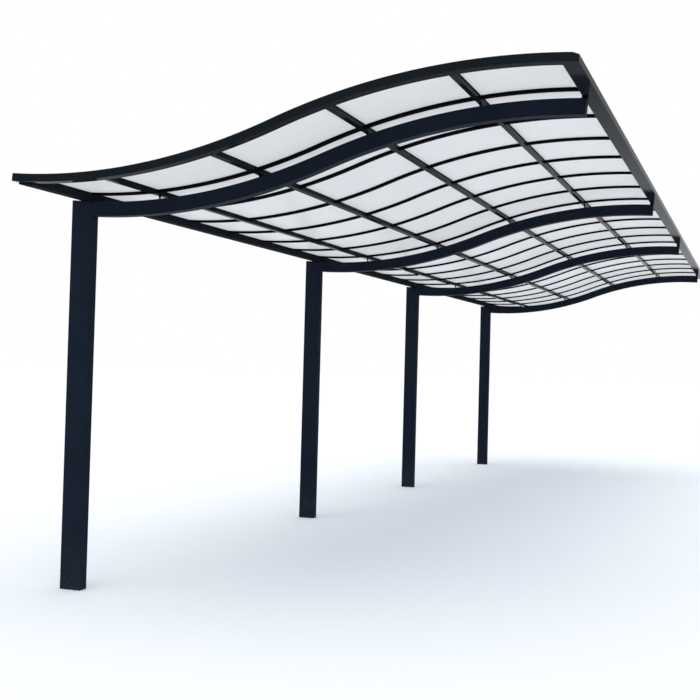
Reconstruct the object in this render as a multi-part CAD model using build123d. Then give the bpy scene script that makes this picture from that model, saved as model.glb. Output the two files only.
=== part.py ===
from build123d import *

import math
import os

# Wave-roofed carport: four posts down one long side carry S-curved cantilever
# beams, and the beams carry a framed roof of translucent sheets.
# +X runs from the posts across the parking space, +Y along the carport, +Z up.
# The origin is the middle of the first post's foot, at ground level.  Millimetres.

# Roof line: the top of the roof frame, a valley arc that runs into a crest arc.
ROOF_RADIUS = 4035.0
WAVE_ANGLE = 20.2
VALLEY_X = 330.0
VALLEY_HEIGHT = 2635.0
ROOF_LEFT = -32.0
ROOF_RIGHT = 3448.0

# Bays along the carport, from one fascia's middle to the other's.
BAY_COUNT = 19
BAY_PITCH = 575.0
BEAM_RIBS = (1, 7, 12, 18)

# Posts and beams stand a little behind the middle of their rib, and blocks seat
# the roof frame on them.
POST_WIDTH = 160.0
POST_DEPTH = 68.0
POST_OFFSET = 22.0
BEAM_DEPTH = 95.0
BEAM_GAP = 16.0
TIP_SETBACK = 66.0
SEAT_BLOCK_LENGTH = 60.0

# Roof frame sections.  The left rail is a gutter, deeper than the rest.
FRAME_DEPTH = 48.0
FASCIA_THICKNESS = 60.0
LEFT_RAIL_WIDTH = 104.0
GUTTER_DROP = 10.0
RIGHT_RAIL_WIDTH = 94.0
CORNER_BEVEL_WIDTH = 36.0
CORNER_BEVEL_DROP = 11.0
GROOVE_DEPTH = 20.0
PURLIN_COUNT = 4
FIRST_PURLIN_X = 578.0
PURLIN_PITCH = 722.0
PURLIN_WIDTH = 30.0
PURLIN_DEPTH = 38.0
RIB_WIDTH = 36.0
RIB_DEPTH = 14.0
GLAZING_WEB = 8.0
LIP_THICKNESS = 2.0

# Translucent roof sheets, held in grooves between the frame's lips and flanges.
SHEET_THICKNESS = 4.0
SHEET_EDGE_GAP = 1.0

# Curved faces that bear on each other stay this far apart.
SEAT = 0.3

THETA = math.radians(WAVE_ANGLE)
BEND_X = VALLEY_X + ROOF_RADIUS * math.sin(THETA)
CREST_X = VALLEY_X + 2 * ROOF_RADIUS * math.sin(THETA)
BEND_RISE = ROOF_RADIUS * (1 - math.cos(THETA))
FRONT_Y = -POST_OFFSET - BEAM_RIBS[0] * BAY_PITCH
REAR_Y = FRONT_Y + BAY_COUNT * BAY_PITCH
FRONT_INNER_Y = FRONT_Y + FASCIA_THICKNESS / 2
REAR_INNER_Y = REAR_Y - FASCIA_THICKNESS / 2
LEFT_INNER_X = ROOF_LEFT + LEFT_RAIL_WIDTH
RIGHT_INNER_X = ROOF_RIGHT - RIGHT_RAIL_WIDTH
LEFT_RAIL_DEPTH = FRAME_DEPTH + GUTTER_DROP
BEAM_DROP = FRAME_DEPTH + BEAM_GAP
BEAM_TIP = ROOF_RIGHT - TIP_SETBACK
SHEET_TOP = LIP_THICKNESS + SEAT
SHEET_BOTTOM = SHEET_TOP + SHEET_THICKNESS
FLANGE_TOP = SHEET_BOTTOM + SEAT
PURLIN_PLACES = [FIRST_PURLIN_X + index * PURLIN_PITCH for index in range(PURLIN_COUNT)]


def rib_y(number):
    """Middle of a rib, counted from the front fascia."""
    return FRONT_Y + number * BAY_PITCH


def post_y(number):
    """Middle of a post and of its beam."""
    return rib_y(BEAM_RIBS[number]) + POST_OFFSET


def slope_at(x):
    """Slope angle of the roof line above x, rising towards +X."""
    if x <= BEND_X:
        return math.asin((x - VALLEY_X) / ROOF_RADIUS)
    return math.asin((CREST_X - x) / ROOF_RADIUS)


def roof_point(x, drop, y):
    """Point a distance drop below the roof line, square to it at x."""
    angle = slope_at(x)
    rise = ROOF_RADIUS * (1 - math.cos(angle))
    height = VALLEY_HEIGHT + (rise if x <= BEND_X else 2 * BEND_RISE - rise)
    return Vector(x + drop * math.sin(angle), y, height - drop * math.cos(angle))


def roof_curve(start, end, drop, y):
    """Edges that follow the roof line from start to end at one drop."""
    stops = [start, end]
    if start < BEND_X < end:
        stops = [start, BEND_X, end]
    edges = []
    for here, there in zip(stops, stops[1:]):
        middle = roof_point((here + there) / 2, drop, y)
        edges.append(Edge.make_three_point_arc(roof_point(here, drop, y), middle, roof_point(there, drop, y)))
    return edges


def wave_bar(start, end, top, bottom, near, far):
    """Bar that follows the roof line, ends cut square to it, from near to far along Y."""
    upper = roof_curve(start, end, top, near)
    lower = roof_curve(start, end, bottom, near)
    left = Edge.make_line(roof_point(start, top, near), roof_point(start, bottom, near))
    right = Edge.make_line(roof_point(end, top, near), roof_point(end, bottom, near))
    face = Face(Wire([*upper, right, *lower, left]))
    return Solid.extrude(face, Vector(0, far - near, 0))


def corner_bevel(near, far):
    """Wedge that takes the sharp top edge off the roof frame on the crest side."""
    corner = roof_point(ROOF_RIGHT, 0, near)
    inner = roof_point(ROOF_RIGHT - CORNER_BEVEL_WIDTH, 0, near)
    outer = roof_point(ROOF_RIGHT, CORNER_BEVEL_DROP, near)
    clear = Vector(CORNER_BEVEL_WIDTH, 0, CORNER_BEVEL_WIDTH)
    along = (outer - inner).normalized() * CORNER_BEVEL_WIDTH
    face = Face(Wire.make_polygon([inner - along, inner - along + clear, corner + clear, outer + along]))
    return Solid.extrude(face, Vector(0, far - near, 0))


def make_post(number):
    """Rectangular post, cut on top along the line of the beams' tops."""
    near = post_y(number) - POST_DEPTH / 2
    far = near + POST_DEPTH
    post = Pos(0, (near + far) / 2, VALLEY_HEIGHT / 2) * Box(POST_WIDTH, POST_DEPTH, VALLEY_HEIGHT)
    return post - wave_bar(-POST_WIDTH, POST_WIDTH, -POST_WIDTH, BEAM_DROP, near - 1, far + 1)


def make_beam(number):
    """S-curved cantilever beam, butted against the side of its post."""
    near = post_y(number) - POST_DEPTH / 2
    far = near + POST_DEPTH
    beam = wave_bar(0, BEAM_TIP, BEAM_DROP, BEAM_DROP + BEAM_DEPTH, near, far)
    tall = 4 * (BEAM_DROP + BEAM_DEPTH)
    post_side = Pos(0, (near + far) / 2, VALLEY_HEIGHT) * Box(POST_WIDTH, 2 * POST_DEPTH, tall)
    return beam - post_side


def make_seat_blocks(number):
    """Blocks on a post and its beam that carry the left rail, the purlins and the right rail."""
    near = post_y(number) - SEAT_BLOCK_LENGTH / 2
    far = near + SEAT_BLOCK_LENGTH
    half = PURLIN_WIDTH / 2
    spans = [(ROOF_LEFT + GROOVE_DEPTH, LEFT_INNER_X - GROOVE_DEPTH, LEFT_RAIL_DEPTH)]
    spans += [(place - half, place + half, PURLIN_DEPTH) for place in PURLIN_PLACES]
    spans.append((RIGHT_INNER_X, BEAM_TIP, FRAME_DEPTH))
    bottom = BEAM_DROP - SEAT
    return [wave_bar(start, end, carried + SEAT, bottom, near, far) for start, end, carried in spans]


def make_fascia(near, groove_near):
    """End bar of the roof, with a groove in its inner side for the end sheets."""
    far = near + FASCIA_THICKNESS
    start = LEFT_INNER_X - GROOVE_DEPTH
    end = RIGHT_INNER_X + GROOVE_DEPTH
    bar = wave_bar(ROOF_LEFT, ROOF_RIGHT, 0, FRAME_DEPTH, near, far)
    groove = wave_bar(start, end, LIP_THICKNESS, FLANGE_TOP, groove_near, groove_near + GROOVE_DEPTH)
    return bar - groove - corner_bevel(near - 1, far + 1)


def make_left_rail():
    """Gutter rail along the post tops, with a groove for the first column of sheets."""
    near = FRONT_INNER_Y
    far = REAR_INNER_Y
    start = LEFT_INNER_X - GROOVE_DEPTH
    bar = wave_bar(ROOF_LEFT, LEFT_INNER_X, 0, LEFT_RAIL_DEPTH, near, far)
    return bar - wave_bar(start, LEFT_INNER_X + 1, LIP_THICKNESS, FLANGE_TOP, near - 1, far + 1)


def make_right_rail():
    """Rail along the open side, over the tips of the beams."""
    near = FRONT_INNER_Y
    far = REAR_INNER_Y
    end = RIGHT_INNER_X + GROOVE_DEPTH
    bar = wave_bar(RIGHT_INNER_X, ROOF_RIGHT, 0, FRAME_DEPTH, near, far)
    groove = wave_bar(RIGHT_INNER_X - 1, end, LIP_THICKNESS, FLANGE_TOP, near - 1, far + 1)
    return bar - groove - corner_bevel(near - 1, far + 1)


def make_purlin(place):
    """Straight bar between the fascias: a web parts two columns of sheets, a lip holds them down."""
    near = FRONT_INNER_Y
    far = REAR_INNER_Y
    half = PURLIN_WIDTH / 2
    web = GLAZING_WEB / 2
    flange = wave_bar(place - half, place + half, FLANGE_TOP, PURLIN_DEPTH, near, far)
    upstand = wave_bar(place - web, place + web, LIP_THICKNESS, FLANGE_TOP, near, far)
    lip = wave_bar(place - half, place + half, 0, LIP_THICKNESS, near, far)
    return flange + upstand + lip


def column_edges():
    """Left and right limit of each column of sheets: the webs and grooves beside it."""
    edges = [LEFT_INNER_X - GROOVE_DEPTH]
    for place in PURLIN_PLACES:
        edges += [place - GLAZING_WEB / 2, place + GLAZING_WEB / 2]
    edges.append(RIGHT_INNER_X + GROOVE_DEPTH)
    return list(zip(edges[0::2], edges[1::2]))


def rib_spans():
    """Left and right end of each length of a rib between rails and purlins."""
    edges = [LEFT_INNER_X]
    for place in PURLIN_PLACES:
        edges += [place - PURLIN_WIDTH / 2, place + PURLIN_WIDTH / 2]
    edges.append(RIGHT_INNER_X)
    return list(zip(edges[0::2], edges[1::2]))


def make_rib(number):
    """One cross rib: lengths between the rails and purlins, of the same section as a purlin."""
    middle = rib_y(number)
    half = RIB_WIDTH / 2
    web = GLAZING_WEB / 2
    lengths = []
    for start, end in rib_spans():
        flange = wave_bar(start, end, FLANGE_TOP, FLANGE_TOP + RIB_DEPTH, middle - half, middle + half)
        upstand = wave_bar(start, end, LIP_THICKNESS, FLANGE_TOP, middle - web, middle + web)
        lip = wave_bar(start, end, 0, LIP_THICKNESS, middle - half, middle + half)
        lengths.append(flange + upstand + lip)
    return lengths


def make_sheet_column(start, end):
    """Sheets of one column, one in each bay, held by the ribs, purlins, rails and fascias."""
    edges = [FRONT_INNER_Y - GROOVE_DEPTH]
    for number in range(1, BAY_COUNT):
        edges += [rib_y(number) - GLAZING_WEB / 2, rib_y(number) + GLAZING_WEB / 2]
    edges.append(REAR_INNER_Y + GROOVE_DEPTH)
    gap = SHEET_EDGE_GAP
    sheets = []
    for near, far in zip(edges[0::2], edges[1::2]):
        sheets.append(wave_bar(start + gap, end - gap, SHEET_TOP, SHEET_BOTTOM, near + gap, far - gap))
    return sheets


def save(name, shape):
    """Write one node, a single solid or a list of solids that don't touch."""
    solids = []
    for item in shape if isinstance(shape, list) else [shape]:
        solids += item.solids()
    node = solids[0] if len(solids) == 1 else Compound(children=solids)
    export_step(node, f"parts/{name}.step")


os.makedirs("parts", exist_ok=True)

for index in range(len(BEAM_RIBS)):
    save(f"post_{index + 1}", make_post(index))
    save(f"cantilever_beam_{index + 1}", make_beam(index))
    save(f"seat_blocks_{index + 1}", make_seat_blocks(index))

save("fascia_front", make_fascia(FRONT_Y - FASCIA_THICKNESS / 2, FRONT_INNER_Y - GROOVE_DEPTH))
save("fascia_rear", make_fascia(REAR_INNER_Y, REAR_INNER_Y))
save("left_rail", make_left_rail())
save("right_rail", make_right_rail())

for index, place in enumerate(PURLIN_PLACES):
    save(f"purlin_{index + 1}", make_purlin(place))

for number in range(1, BAY_COUNT):
    save(f"rib_{number:02d}", make_rib(number))

for index, (start, end) in enumerate(column_edges()):
    save(f"roof_sheets_{index + 1}", make_sheet_column(start, end))
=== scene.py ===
import math

import bmesh
import bpy
import numpy as np
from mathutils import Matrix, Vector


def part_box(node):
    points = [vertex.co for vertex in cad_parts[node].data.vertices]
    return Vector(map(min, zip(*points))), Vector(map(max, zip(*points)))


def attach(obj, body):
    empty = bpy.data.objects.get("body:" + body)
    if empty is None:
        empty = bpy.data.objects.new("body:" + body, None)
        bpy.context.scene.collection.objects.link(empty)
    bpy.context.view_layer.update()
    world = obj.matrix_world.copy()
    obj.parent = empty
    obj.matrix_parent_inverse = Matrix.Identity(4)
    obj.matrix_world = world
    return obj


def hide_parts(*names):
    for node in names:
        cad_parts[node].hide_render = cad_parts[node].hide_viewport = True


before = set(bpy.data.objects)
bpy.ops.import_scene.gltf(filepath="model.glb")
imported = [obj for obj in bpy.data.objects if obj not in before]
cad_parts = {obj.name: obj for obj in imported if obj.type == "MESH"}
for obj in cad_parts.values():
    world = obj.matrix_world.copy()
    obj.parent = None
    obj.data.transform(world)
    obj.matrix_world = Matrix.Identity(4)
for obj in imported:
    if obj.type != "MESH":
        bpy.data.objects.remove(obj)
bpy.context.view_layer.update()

scene = bpy.context.scene

# ---------------------------------------------------------------------------
# Camera: low at the open front corner, looking back along the row of posts.
# Its small sideways shift keeps the posts upright while the roof fills the frame.
camera = bpy.data.objects.new("camera", bpy.data.cameras.new("camera"))
camera.data.sensor_width = 36.0
camera.data.lens = 49.119
camera.data.shift_x = -0.15
camera.data.clip_end = 600.0
camera.location = (4.3402, -5.3162, 1.505)
camera.rotation_euler = [math.radians(turn) for turn in (91.295, -1.387, 17.805)]
scene.collection.objects.link(camera)
scene.camera = camera
scene.view_settings.view_transform = "Standard"


# ---------------------------------------------------------------------------
# Floor and light: a pale studio floor under a white dome, with one broad soft
# lamp almost overhead.  What looks at the dome or the floor sees them white.
class Field:
    """A value that varies over a surface: an output socket, on which arithmetic
    adds Math nodes."""

    def __init__(self, finish, socket):
        self.finish = finish
        self.socket = socket

    def math(self, operation, other=0.0):
        return self.finish.node("Math", {"operation": operation}, {0: self, 1: other})

    def __add__(self, other):
        return self.math("ADD", other)

    def __sub__(self, other):
        return self.math("SUBTRACT", other)

    def __rsub__(self, other):
        return self.finish.node("Math", {"operation": "SUBTRACT"}, {0: other, 1: self})

    def __mul__(self, other):
        return self.math("MULTIPLY", other)

    __radd__ = __add__
    __rmul__ = __mul__


class Finish:
    """The nodes of one material or of the world."""

    def __init__(self, owner):
        owner.use_nodes = True
        self.owner = owner
        self.tree = owner.node_tree
        self.tree.nodes.clear()

    def node(self, kind, settings=None, sockets=None, out=0):
        """Adds a node, its settings first and then a value or a link on each socket,
        and gives one of its outputs."""
        made = self.tree.nodes.new("ShaderNode" + kind)
        for name, value in (settings or {}).items():
            setattr(made, name, value)
        for name, value in (sockets or {}).items():
            if isinstance(value, Field):
                self.tree.links.new(value.socket, made.inputs[name])
            else:
                made.inputs[name].default_value = value
        return Field(self, made.outputs[out]) if len(made.outputs) else None

    def part(self, vector, axis):
        """One coordinate of a place or of a direction."""
        return self.node("SeparateXYZ", None, {0: vector}, out=axis)

    def noise(self, place, scale, detail):
        """Cloudy pattern between 0 and 1, with scale blotches to a metre."""
        return self.node("TexNoise", None, {"Vector": place, "Scale": scale, "Detail": detail})

    def blend(self, share, first, second):
        """Colour mixed from first to second as share goes from 0 to 1."""
        return self.node("Mix", {"data_type": "RGBA"}, {0: share, 6: first, 7: second}, out=2)

    def ease(self, value, low, high):
        """Smooth step: 0 below low, 1 above high."""
        sockets = {"Value": value, "From Min": low, "From Max": high}
        return self.node("MapRange", {"interpolation_type": "SMOOTHSTEP"}, sockets)


def seen_directly(finish):
    """1 for rays from the camera, off gloss or through a clear surface, and 0 for the
    light that falls on things."""
    seen = finish.node("LightPath", out="Is Camera Ray")
    for kind in ("Is Glossy Ray", "Is Transmission Ray"):
        seen = seen.math("MAXIMUM", finish.node("LightPath", out=kind))
    return seen


WHITE = (1.0, 1.0, 1.0, 1.0)
BLACK = (0.0, 0.0, 0.0, 1.0)
DOME_LIGHT = 0.62
LAMP_LIGHT = 1.28
LAMP_WIDTH = 70.0
LAMP_TILT = (12.0, 8.0, 0.0)
world = bpy.data.worlds.new("studio dome")
scene.world = world
dome = Finish(world)
strength = DOME_LIGHT + (1 - DOME_LIGHT) * seen_directly(dome)
glow = dome.node("Background", None, {"Color": WHITE, "Strength": strength})
dome.node("OutputWorld", None, {"Surface": glow})

lamp = bpy.data.lights.new("soft lamp", "SUN")
lamp.energy = LAMP_LIGHT
lamp.angle = math.radians(LAMP_WIDTH)
lamp_object = bpy.data.objects.new("soft lamp", lamp)
lamp_object.rotation_euler = [math.radians(turn) for turn in LAMP_TILT]
scene.collection.objects.link(lamp_object)

FLOOR_REACH = 300.0
FLOOR_LEVEL = -0.001
FLOOR_COLOUR = (0.90, 0.935, 0.965, 1.0)
FLOOR_LIFT = (0.10, 0.115, 0.15, 1.0)
CORNERS = ((-1, -1), (1, -1), (1, 1), (-1, 1))
floor_mesh = bpy.data.meshes.new("floor")
floor_points = [(x * FLOOR_REACH, y * FLOOR_REACH, FLOOR_LEVEL) for x, y in CORNERS]
floor_mesh.from_pydata(floor_points, [], [(0, 1, 2, 3)])
floor = bpy.data.objects.new("floor", floor_mesh)
scene.collection.objects.link(floor)
studio = Finish(bpy.data.materials.new("studio floor"))
matt = studio.node("BsdfPrincipled", None, {
    "Base Color": FLOOR_COLOUR,
    "Roughness": 1.0,
    "Specular IOR Level": 0.0,
    "Emission Color": studio.blend(seen_directly(studio), BLACK, FLOOR_LIFT),
    "Emission Strength": 1.0,
})
studio.node("OutputMaterial", None, {"Surface": matt})
floor_mesh.materials.append(studio.owner)


# ---------------------------------------------------------------------------
# Posts: rectangular aluminium tubes set upright on the ground, powder-coated in a
# very dark blue-grey.  They are cut along the line of the beams' tops, and each is
# closed with a thin cap over a rubber seal that shows as a fine dark seam.
ROOF_RADIUS = 4.035
WAVE_ANGLE = math.radians(20.2)
VALLEY_X = 0.330
VALLEY_Z = 2.635
BEND_X = VALLEY_X + ROOF_RADIUS * math.sin(WAVE_ANGLE)
CREST_X = VALLEY_X + 2 * ROOF_RADIUS * math.sin(WAVE_ANGLE)
BEND_RISE = ROOF_RADIUS * (1 - math.cos(WAVE_ANGLE))
POSTS = 4
BEAM_DROP = 0.064
TUBE_EDGE = 0.004
CAP_THICKNESS = 0.004
CAP_EDGE = 0.0015
CAP_SEAM = 0.0015
SEAM_INSET = 0.0035
MERGE_DISTANCE = 1e-6
CLOUDS, GRIT, PEEL = 1.7, 38.0, 420.0
PALE_DUST_AND_LIGHT = (0.20, 0.20, 0.19, 1.0)
PAINTED_LIGHT_HEIGHT = 0.42


def slope(x):
    """Slope of the roof line: the arcsine of the way from the valley, or to the crest,
    over the radius."""
    way = np.where(x <= BEND_X, x - VALLEY_X, CREST_X - x)
    return np.arcsin(way / ROOF_RADIUS)


def roof(x, drop):
    """Point a distance drop under the roof line, square to it: the line at x moved by
    drop along its normal."""
    turn = slope(x)
    rise = ROOF_RADIUS * (1 - np.cos(turn))
    height = VALLEY_Z + np.where(x <= BEND_X, rise, 2 * BEND_RISE - rise)
    return x + drop * np.sin(turn), height - drop * np.cos(turn)


def shell(name, rings, finish, edge=0.0, loop=False, crease=20.0):
    """Closed surfaces through grids of points, rings[shell, section, around, xyz]:
    neighbours are joined by quads, and the two end sections are filled, or joined to
    each other where the sections form a loop.  edge is the radius that a Bevel gives
    the corners, and crease the angle in degrees that stays sharp."""
    rings = np.asarray(rings, float)
    count, sections, around = rings.shape[:3]
    first = np.arange(count).reshape(-1, 1, 1) * sections * around
    along = np.arange(sections if loop else sections - 1).reshape(1, -1, 1)
    here = first + along * around
    there = first + (along + 1) % sections * around
    ring = np.arange(around)
    beside = np.roll(ring, -1)
    quads = np.stack([here + ring, here + beside, there + beside, there + ring], -1)
    faces = quads.reshape(-1, 4).tolist()
    if not loop:
        start = first.reshape(-1, 1)
        faces += (start + ring[::-1]).tolist()
        faces += (start + (sections - 1) * around + ring).tolist()
    mesh = bpy.data.meshes.new(name)
    mesh.from_pydata(rings.reshape(-1, 3), [], faces)
    work = bmesh.new()
    work.from_mesh(mesh)
    bmesh.ops.remove_doubles(work, verts=work.verts, dist=MERGE_DISTANCE)
    bmesh.ops.recalc_face_normals(work, faces=work.faces)
    work.to_mesh(mesh)
    work.free()
    mesh.shade_smooth()
    mesh.set_sharp_from_angle(angle=math.radians(crease))
    mesh.materials.append(finish.owner)
    piece = bpy.data.objects.new(name, mesh)
    scene.collection.objects.link(piece)
    if edge:
        eased = piece.modifiers.new("eased edges", "BEVEL")
        eased.width = edge
        eased.segments = 2
        eased.limit_method = "ANGLE"
        eased.angle_limit = math.radians(crease)
        eased.harden_normals = True
    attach(piece, "root")
    return piece


def powder_coat(name, colour, roughness, gloss):
    """Powder coat: a fine orange peel, slow shifts of tone, pale dust on upward faces,
    and painted light near the ground, laid on as pale patches."""
    finish = Finish(bpy.data.materials.new(name))
    place = finish.node("TexCoord", out="Object")
    up = finish.part(finish.node("NewGeometry", out="Normal"), "Z")
    height = finish.part(place, "Z")
    cloud = finish.noise(place, CLOUDS, 3.0)
    grit = finish.noise(place, GRIT, 4.0)
    peel = finish.noise(place, PEEL, 1.0)
    # Painted light near the ground: low down the coat turns paler in patches. Pale dust also
    # settles on upward faces.
    low_down = 1 - finish.ease(height, 0.0, PAINTED_LIGHT_HEIGHT)
    painted_light_near_ground = low_down * finish.ease(grit * 0.6 + cloud * 0.4, 0.30, 0.75)
    settled = finish.ease(up, 0.55, 0.98) * finish.ease(cloud * 0.5 + grit * 0.5, 0.36, 0.72)
    dust_and_painted_light = painted_light_near_ground * 0.10 + settled * 0.10
    light = tuple(tone * 1.25 for tone in colour) + (1.0,)
    dark = tuple(tone * 0.80 for tone in colour) + (1.0,)
    bump = finish.node("Bump", None, {"Strength": 0.10, "Distance": 0.0004, "Height": peel})
    body = finish.node("BsdfPrincipled", None, {
        "Base Color": finish.blend(dust_and_painted_light, finish.blend(cloud, dark, light), PALE_DUST_AND_LIGHT),
        "Roughness": roughness + cloud * 0.08 + dust_and_painted_light * 1.1,
        "Specular IOR Level": gloss,
        "Normal": bump,
    })
    finish.node("OutputMaterial", None, {"Surface": body})
    return finish


def under_tops(plan, depth):
    """Points of a plan of (x, y) at the height, there, of the line that runs depth under
    the beams' tops."""
    return np.column_stack([plan, roof(plan[:, 0], BEAM_DROP + depth)[1]])


frame_paint = powder_coat("dark blue matt powder coat", (0.0106, 0.0166, 0.0300), 0.55, 0.02)
seal = powder_coat("black rubber", (0.0020, 0.0021, 0.0023), 0.62, 0.04)
for number in range(1, POSTS + 1):
    low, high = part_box(f"post_{number}")
    plan = np.array([(low.x, low.y), (high.x, low.y), (high.x, high.y), (low.x, high.y)])
    inner = plan - SEAM_INSET * np.array(CORNERS)
    foot = np.column_stack([plan, np.zeros(len(plan))])
    wall = [foot, under_tops(plan, CAP_THICKNESS + CAP_SEAM)]
    seam = [under_tops(inner, depth) for depth in (CAP_THICKNESS + CAP_SEAM, CAP_THICKNESS)]
    cap = [under_tops(plan, depth) for depth in (CAP_THICKNESS, 0.0)]
    tube = shell(f"post_tube_{number}", [wall], frame_paint, edge=TUBE_EDGE)
    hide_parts(f"post_{number}")
    shell(f"post_cap_seam_{number}", [seam], seal)
    shell(f"post_cap_{number}", [cap], frame_paint, edge=CAP_EDGE)


# ---------------------------------------------------------------------------
# Cantilever beams: rectangular tubes rolled to the S of the roof and closed with
# a cap at the tip.  Each is bolted to its post through an end plate, which stands
# a little inside both tubes and shows as a dark line.
BEAM_DEPTH = 0.095
BEAM_TIP = 3.382
BEAM_SECTIONS = 73
PLATE_THICKNESS = 0.008
# Painted shade: the beams carry the posts' blue coat in a darker tone, which stands in for shade.
# They are also a little glossier.
beams_shaded_paint = powder_coat(
    "dark blue matt powder coat on the beams", (0.0078, 0.0126, 0.0222), 0.48, 0.035)


def along_roof(x, outline):
    """Rings of an outline of (y, drop) carried along the roof line: ring i is the
    outline at x[i], square to the line."""
    x = np.asarray(x, float)
    outline = np.asarray(outline, float)
    across = np.broadcast_to(outline[:, 0], (len(x), len(outline)))
    wide, high = roof(x[:, None], outline[None, :, 1])
    return np.stack([wide, across, high], -1)


def box_outline(near, far, top, bottom):
    """Four corners of a bar's section, as (y, drop)."""
    return [(near, top), (far, top), (far, bottom), (near, bottom)]


for number in range(1, POSTS + 1):
    low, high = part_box(f"cantilever_beam_{number}")
    beam_bottom = BEAM_DROP + BEAM_DEPTH
    outline = box_outline(low.y, high.y, BEAM_DROP, beam_bottom)
    inner = box_outline(
        low.y + SEAM_INSET, high.y - SEAM_INSET, BEAM_DROP + SEAM_INSET, beam_bottom - SEAM_INSET)
    post_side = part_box(f"post_{number}")[1].x
    tube_start = post_side + PLATE_THICKNESS
    cap_start = BEAM_TIP - CAP_THICKNESS
    tube_end = cap_start - CAP_SEAM
    tube = along_roof(np.linspace(tube_start, tube_end, BEAM_SECTIONS), outline)
    plate = along_roof([post_side, tube_start], inner)
    seam = along_roof([tube_end, cap_start], inner)
    cap = along_roof([cap_start, BEAM_TIP], outline)
    beam = shell(f"beam_tube_{number}", [tube], beams_shaded_paint, edge=TUBE_EDGE)
    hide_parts(f"cantilever_beam_{number}")
    shell(f"joint_plate_{number}", [plate], seal)
    shell(f"cap_seam_{number}", [seam], seal)
    shell(f"beam_cap_{number}", [cap], beams_shaded_paint, edge=CAP_EDGE)


# ---------------------------------------------------------------------------
# Seats: what carries the roof frame on the beams.  Solid blocks lie under the two
# rails, and short turned spacers on bolts stand under the purlins, all matt black.
FRAME_DEPTH = 0.048
LEFT_DEPTH = 0.058
LEFT_SEAT = -0.012
GROOVE_LEFT = 0.052
RIGHT_INNER = 3.354
SEAT_SECTIONS = 4
SEAT_EDGE = 0.0008
PURLINS = 4
FIRST_PURLIN = 0.578
PURLIN_PITCH = 0.722
PURLIN_DEPTH = 0.038
WASHER_THICKNESS = 0.0016
WASHER_RADIUS = 0.0100
SPACER_RADIUS = 0.0065
SPACER_SIDES = 20
SPACER = np.array([
    (WASHER_RADIUS, BEAM_DROP), (WASHER_RADIUS, BEAM_DROP - WASHER_THICKNESS),
    (SPACER_RADIUS, BEAM_DROP - WASHER_THICKNESS), (SPACER_RADIUS, PURLIN_DEPTH + WASHER_THICKNESS),
    (WASHER_RADIUS, PURLIN_DEPTH + WASHER_THICKNESS), (WASHER_RADIUS, PURLIN_DEPTH),
])
purlin_places = FIRST_PURLIN + PURLIN_PITCH * np.arange(PURLINS)
black_paint = powder_coat("black matt powder coat", (0.0022, 0.0024, 0.0030), 0.65, 0.01)


def spacers(name, x, y):
    """Turned bars square to the roof line at each x: ring k is a circle of radius
    SPACER[k, 0], at SPACER[k, 1] under the line and tipped by its slope."""
    radius = SPACER[:, 0, None]
    angle = np.linspace(0.0, 2 * math.pi, SPACER_SIDES, endpoint=False)
    foot, height = roof(x[:, None], SPACER[:, 1])
    turn = slope(x)[:, None, None]
    wide = foot[..., None] + radius * np.cos(angle) * np.cos(turn)
    across = y + radius * np.sin(angle)
    high = height[..., None] + radius * np.cos(angle) * np.sin(turn)
    return shell(name, np.stack(np.broadcast_arrays(wide, across, high), -1), black_paint)


for number in range(1, POSTS + 1):
    low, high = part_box(f"seat_blocks_{number}")
    under_left = box_outline(low.y, high.y, LEFT_DEPTH, BEAM_DROP)
    under_right = box_outline(low.y, high.y, FRAME_DEPTH, BEAM_DROP)
    left = along_roof(np.linspace(LEFT_SEAT, GROOVE_LEFT, SEAT_SECTIONS), under_left)
    right = along_roof(np.linspace(RIGHT_INNER, BEAM_TIP, SEAT_SECTIONS), under_right)
    blocks = shell(f"rail_seats_{number}", [left, right], black_paint, edge=SEAT_EDGE)
    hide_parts(f"seat_blocks_{number}")
    spacers(f"purlin_spacers_{number}", purlin_places, (low.y + high.y) / 2)


# ---------------------------------------------------------------------------
# Fascias: the end bars of the roof, extruded aluminium rolled to the wave, with a
# groove in the inner side for the end sheets and a thin cap screwed on each end.
ROOF_LEFT = -0.032
ROOF_RIGHT = 3.448
BEVEL_START = 3.412
BEVEL_DROP = 0.011
GROOVE_DEPTH = 0.020
GROOVE_RIGHT = 3.374
LIP = 0.002
FLANGE = 0.0066
END_CAP = 0.0025
PROFILE_EDGE = 0.0007
edge_paint = powder_coat("charcoal powder coat", (0.0104, 0.0144, 0.0180), 0.05, 0.0065)


def top_at(x):
    """Drop of the frame's top face: none as far as the corner's bevel, which falls away
    in a straight line."""
    return np.maximum(0.0, (x - BEVEL_START) / (ROOF_RIGHT - BEVEL_START)) * BEVEL_DROP


def fascia_rings(x, outer, inner, groove):
    """Rings of a fascia at each x: an upright bar from its outer to its inner side, whose
    inner side is groove[i] deep between the lip and the flange.  Nothing stands higher
    than the bevelled top."""
    x = np.asarray(x, float)
    top = top_at(x)
    face, side = np.full(len(x), outer), np.full(len(x), inner)
    lip, flange, bottom = (np.full(len(x), drop) for drop in (LIP, FLANGE, FRAME_DEPTH))
    back = inner + np.sign(outer - inner) * groove
    across = np.stack([face, side, side, back, back, side, side, face], -1)
    drop = np.stack([top, top, lip, lip, flange, flange, bottom, bottom], -1)
    wide, high = roof(x[:, None], np.maximum(drop, top[:, None]))
    return np.stack([wide, across, high], -1)


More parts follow.
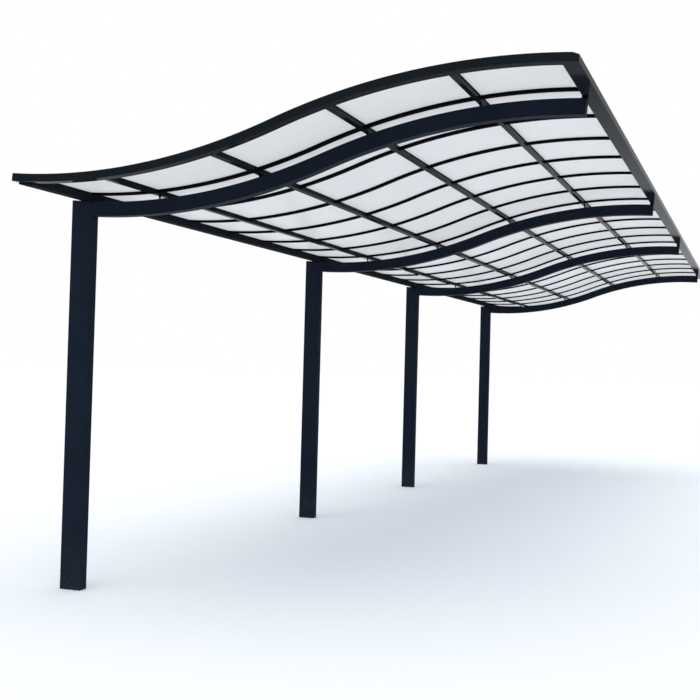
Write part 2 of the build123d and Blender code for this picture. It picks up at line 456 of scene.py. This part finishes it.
for name, outside, inside in (("fascia_front", 0, 1), ("fascia_rear", 1, 0)):
    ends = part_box(name)
    outer, inner = ends[outside].y, ends[inside].y
    stretches = [
        np.linspace(ROOF_LEFT + END_CAP, GROOVE_LEFT, 3),
        np.linspace(GROOVE_LEFT, GROOVE_RIGHT, BEAM_SECTIONS),
        np.array([GROOVE_RIGHT, BEVEL_START, ROOF_RIGHT - END_CAP]),
    ]
    groove = np.repeat([0.0, GROOVE_DEPTH, 0.0], [len(stretch) for stretch in stretches])
    length = fascia_rings(np.concatenate(stretches), outer, inner, groove)
    bar = shell(f"{name}_bar", [length], edge_paint, edge=PROFILE_EDGE)
    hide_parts(name)
    cap_spans = ((ROOF_LEFT, ROOF_LEFT + END_CAP), (ROOF_RIGHT - END_CAP, ROOF_RIGHT))
    caps = [fascia_rings(span, outer, inner, np.zeros(2)) for span in cap_spans]
    shell(f"{name}_end_caps", caps, edge_paint, edge=PROFILE_EDGE)


# ---------------------------------------------------------------------------
# Rails: the long sides of the roof, straight extruded bars between the fascias,
# each with a groove for the sheets.  The one on the post side is deeper and matt.
LEFT_INNER = 0.072
matt_paint = powder_coat("charcoal matt powder coat", (0.0098, 0.0132, 0.0166), 0.60, 0.003)


def across_roof(y, outline):
    """Rings of an outline of (x, drop) carried straight along the carport: ring i is the
    outline at y[i]."""
    outline = np.asarray(outline, float)
    wide, high = roof(outline[:, 0], outline[:, 1])
    return np.stack(np.broadcast_arrays(wide, np.asarray(y, float)[:, None], high), -1)


def rail_outline(outer, inner, groove, depth):
    """Section of a rail as (x, drop): over the top from its outer side, down the inner
    side with the groove in it, and back along the bottom."""
    middle = (outer + inner) / 2
    turn = BEVEL_START if outer > BEVEL_START else middle
    top = [(outer, top_at(outer)), (turn, top_at(turn)), (inner, 0.0)]
    grooved = [(inner, LIP), (groove, LIP), (groove, FLANGE), (inner, FLANGE)]
    return top + grooved + [(inner, depth), (middle, depth), (outer, depth)]


for name, paint, section in (
    ("left_rail", matt_paint, rail_outline(ROOF_LEFT, LEFT_INNER, GROOVE_LEFT, LEFT_DEPTH)),
    ("right_rail", edge_paint, rail_outline(ROOF_RIGHT, RIGHT_INNER, GROOVE_RIGHT, FRAME_DEPTH)),
):
    low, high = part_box(name)
    bar = shell(f"{name}_bar", [across_roof([low.y, high.y], section)], paint, edge=PROFILE_EDGE)
    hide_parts(name)


# ---------------------------------------------------------------------------
# Purlins: four straight glazing bars along the roof, in glossier charcoal.  A web
# parts the sheets, the flange below carries them, and the lip above holds them down.
PURLIN_HALF = 0.015
WEB_HALF = 0.004
purlin_paint = powder_coat("charcoal gloss powder coat", (0.0058, 0.0088, 0.0118), 0.03, 0.0135)


def bar_outline(middle, half, bottom):
    """Section of a glazing bar: a lip above and a deeper flange below, half wide each
    way, joined by a thin web."""
    upper = [(half, LIP), (WEB_HALF, LIP), (WEB_HALF, FLANGE), (half, FLANGE)]
    lower = [(-half, FLANGE), (-WEB_HALF, FLANGE), (-WEB_HALF, LIP), (-half, LIP)]
    turned = [(-half, 0.0), (half, 0.0)] + upper + [(half, bottom), (-half, bottom)] + lower
    return [(middle + side, drop) for side, drop in turned]


for number, place in enumerate(purlin_places, 1):
    low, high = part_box(f"purlin_{number}")
    length = across_roof([low.y, high.y], bar_outline(place, PURLIN_HALF, PURLIN_DEPTH))
    bar = shell(f"purlin_bar_{number}", [length], purlin_paint, edge=PROFILE_EDGE)
    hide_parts(f"purlin_{number}")


# ---------------------------------------------------------------------------
# Ribs: shallow glazing bars rolled to the wave, cut between the rails and the
# purlins.  Their matt black coat makes them read as plain black lines.
RIBS = 18
RIB_HALF = 0.018
RIB_BOTTOM = 0.0206
RIB_SECTIONS = 12
column_left = np.append(LEFT_INNER, purlin_places + PURLIN_HALF)
column_right = np.append(purlin_places - PURLIN_HALF, RIGHT_INNER)
rib_middles = []
for number in range(1, RIBS + 1):
    low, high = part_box(f"rib_{number:02d}")
    rib_middles.append((low.y + high.y) / 2)
    section = bar_outline(rib_middles[-1], RIB_HALF, RIB_BOTTOM)
    lengths = [
        along_roof(np.linspace(left, right, RIB_SECTIONS), section)
        for left, right in zip(column_left, column_right)
    ]
    bar = shell(f"rib_bar_{number:02d}", lengths, black_paint, edge=PROFILE_EDGE)
    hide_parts(f"rib_{number:02d}")


# ---------------------------------------------------------------------------
# Glazing seals: black rubber beads pushed in round every sheet, in the corner
# under the lips above and in the corner beside the flanges below.
SHEET_TOP = 0.0023
SHEET_BOTTOM = 0.0063
BEAD_SECTIONS = 10
ROUND_CREASE = 50.0
UPPER_BEAD = (
    (0.0, SHEET_TOP), (0.0, 0.0006), (0.0012, 0.0007), (0.0022, 0.0014), (0.0026, SHEET_TOP))
LOWER_BEAD = (
    (0.0, SHEET_BOTTOM), (0.0, 0.0105), (0.0022, 0.0103), (0.0046, 0.0084), (0.0055, SHEET_BOTTOM))
bay_near = np.append(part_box("fascia_front")[1].y, np.add(rib_middles, RIB_HALF))
bay_far = np.append(np.subtract(rib_middles, RIB_HALF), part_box("fascia_rear")[0].y)


def bead_rings(left, right, outline):
    """Beads round the openings of one column: the path goes along the near side and back
    along the far side, and each point (inset, drop) of the outline runs round that
    rectangle shrunk by its inset."""
    inset, drop = np.asarray(outline, float).T
    run = np.linspace(0.0, 1.0, BEAD_SECTIONS)
    wide = np.concatenate([run, run[::-1]])[None, :, None]
    deep = np.repeat([0.0, 1.0], BEAD_SECTIONS)[None, :, None]
    near = bay_near[:, None, None] + inset
    far = bay_far[:, None, None] - inset
    x, height = roof(left + inset + wide * (right - left - 2 * inset), drop)
    return np.stack(np.broadcast_arrays(x, near + deep * (far - near), height), -1)


for number, (left, right) in enumerate(zip(column_left, column_right), 1):
    beads = [bead_rings(left, right, outline) for outline in (UPPER_BEAD, LOWER_BEAD)]
    shell(f"sheet_seals_{number}", np.concatenate(beads), seal, loop=True, crease=ROUND_CREASE)


# ---------------------------------------------------------------------------
# Lip screws: small stainless pan heads that hold the lips down, two to a bay on
# each purlin, and on each rib near the ends of its lengths and in the middle.
HEAD = np.array([
    (0.0042, -0.0002), (0.0042, 0.0006), (0.0036, 0.0013),
    (0.0020, 0.0018), (0.0013, 0.0018), (0.0010, 0.0011),
])
HEAD_SIDES = 10
END_DISTANCE = 0.060
BAY_SHARES = (0.25, 0.75)
TARNISH, TURNING = 55.0, 2600.0
BRIGHT_STEEL = (0.50, 0.50, 0.49, 1.0)
DULL_STEEL = (0.30, 0.29, 0.27, 1.0)


def stainless(name):
    """Stainless steel: fine turning marks and a little tarnish."""
    finish = Finish(bpy.data.materials.new(name))
    place = finish.node("TexCoord", out="Object")
    tarnish = finish.ease(finish.noise(place, TARNISH, 3.0), 0.35, 0.75)
    marks = finish.noise(place, TURNING, 1.0)
    bump = finish.node("Bump", None, {"Strength": 0.15, "Distance": 0.0002, "Height": marks})
    metal = finish.node("BsdfPrincipled", None, {
        "Base Color": finish.blend(tarnish, BRIGHT_STEEL, DULL_STEEL),
        "Metallic": 1.0,
        "Roughness": 0.30 + tarnish * 0.2,
        "Normal": bump,
    })
    finish.node("OutputMaterial", None, {"Surface": metal})
    return finish


def screw_heads(name, x, y):
    """Heads standing on the lips at each x and y: ring k is a circle of radius
    HEAD[k, 0], at HEAD[k, 1] above the lip."""
    x, y = (np.asarray(value, float).reshape(-1, 1, 1) for value in (x, y))
    angle = np.linspace(0.0, 2 * math.pi, HEAD_SIDES, endpoint=False)
    radius, rise = HEAD[:, 0, None], HEAD[:, 1, None]
    wide, high = roof(x + radius * np.cos(angle) * np.cos(slope(x)), -rise)
    rings = np.stack(np.broadcast_arrays(wide, y + radius * np.sin(angle), high), -1)
    return shell(name, rings, steel, crease=ROUND_CREASE)


steel = stainless("stainless steel")
bay_length = (bay_far - bay_near)[:, None]
along_purlin = (bay_near[:, None] + bay_length * np.array(BAY_SHARES)).ravel()
grid_x, grid_y = np.meshgrid(purlin_places, along_purlin)
screw_heads("purlin_screws", grid_x, grid_y)
along_rib = np.concatenate([
    column_left + END_DISTANCE, column_right - END_DISTANCE, (column_left + column_right)[:-1] / 2])
grid_x, grid_y = np.meshgrid(along_rib, rib_middles)
screw_heads("rib_screws", grid_x, grid_y)


# ---------------------------------------------------------------------------
# Roof sheets: milky polycarbonate, 4 mm thick, one in each bay and column, slid
# into the grooves of the bars.  They let soft light through and show only a trace
# of what is behind them.
MILK = ((0.838, 0.842, 0.857, 1.0), (0.822, 0.826, 0.840, 1.0))
MILK_THROUGH = (0.830, 0.834, 0.849, 1.0)
CLEAR = (0.97, 0.98, 1.0, 1.0)
CLEAR_SHARE = 0.06
LIT_THROUGH_SHARE = 0.58
SILT = (0.46, 0.45, 0.41, 1.0)
SHEET_CLOUDS, SPECKS = 1.3, 24.0
RUN_SCALES = (1.5, 30.0, 1.0)
bay_pitch = rib_middles[1] - rib_middles[0]


def milky_sheet(name):
    """Milky plastic: a trace of it clear, the rest part scattering surface and part lit
    from behind.  The top side carries what rain leaves: thin runs down the slope, and
    more along the bars and in the valley."""
    finish = Finish(bpy.data.materials.new(name))
    place = finish.node("TexCoord", out="Object")
    x, y = finish.part(place, "X"), finish.part(place, "Y")
    up = finish.part(finish.node("NewGeometry", out="Normal"), "Z")
    cloud = finish.noise(place, SHEET_CLOUDS, 2.0)
    speck = finish.noise(place, SPECKS, 4.0)
    stretched = finish.node("Mapping", None, {"Vector": place, "Scale": RUN_SCALES})
    runs = finish.ease(finish.noise(stretched, 1.0, 4.0), 0.48, 0.80)
    to_rib = (y - rib_middles[0]).math("PINGPONG", bay_pitch / 2)
    to_purlin = (x - FIRST_PURLIN).math("PINGPONG", PURLIN_PITCH / 2)
    to_valley = (x - VALLEY_X).math("ABSOLUTE")
    by_rib = 1 - finish.ease(to_rib, RIB_HALF, 0.060)
    by_purlin = 1 - finish.ease(to_purlin, PURLIN_HALF, 0.050)
    in_valley = 1 - finish.ease(to_valley, 0.02, 0.24)
    patches = finish.ease(speck * 0.5 + cloud * 0.5, 0.34, 0.66)
    left_over = ((by_rib + by_purlin * 0.6) * 0.16 + in_valley * 0.06) * patches
    dirt = (runs * 0.13 + left_over) * finish.ease(up, 0.3, 0.8)
    bump = finish.node("Bump", None, {"Strength": 0.06, "Distance": 0.002, "Height": cloud})
    body = finish.node("BsdfPrincipled", None, {
        "Base Color": finish.blend(dirt, finish.blend(cloud, *MILK), SILT),
        "Roughness": 0.20 + dirt * 0.6,
        "IOR": 1.58,
        "Specular IOR Level": 0.08,
        "Normal": bump,
    })
    through = finish.node("BsdfTranslucent", None, {"Color": MILK_THROUGH})
    clear = finish.node("BsdfTransparent", None, {"Color": CLEAR})
    milk = finish.node("MixShader", None, {0: LIT_THROUGH_SHARE, 1: body, 2: through})
    sheet = finish.node("MixShader", None, {0: CLEAR_SHARE, 1: milk, 2: clear})
    finish.node("OutputMaterial", None, {"Surface": sheet})
    return finish


sheet_finish = milky_sheet("milky polycarbonate")
for name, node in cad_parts.items():
    if name.startswith("roof_sheets"):
        for slot in node.material_slots:
            slot.material = sheet_finish.owner
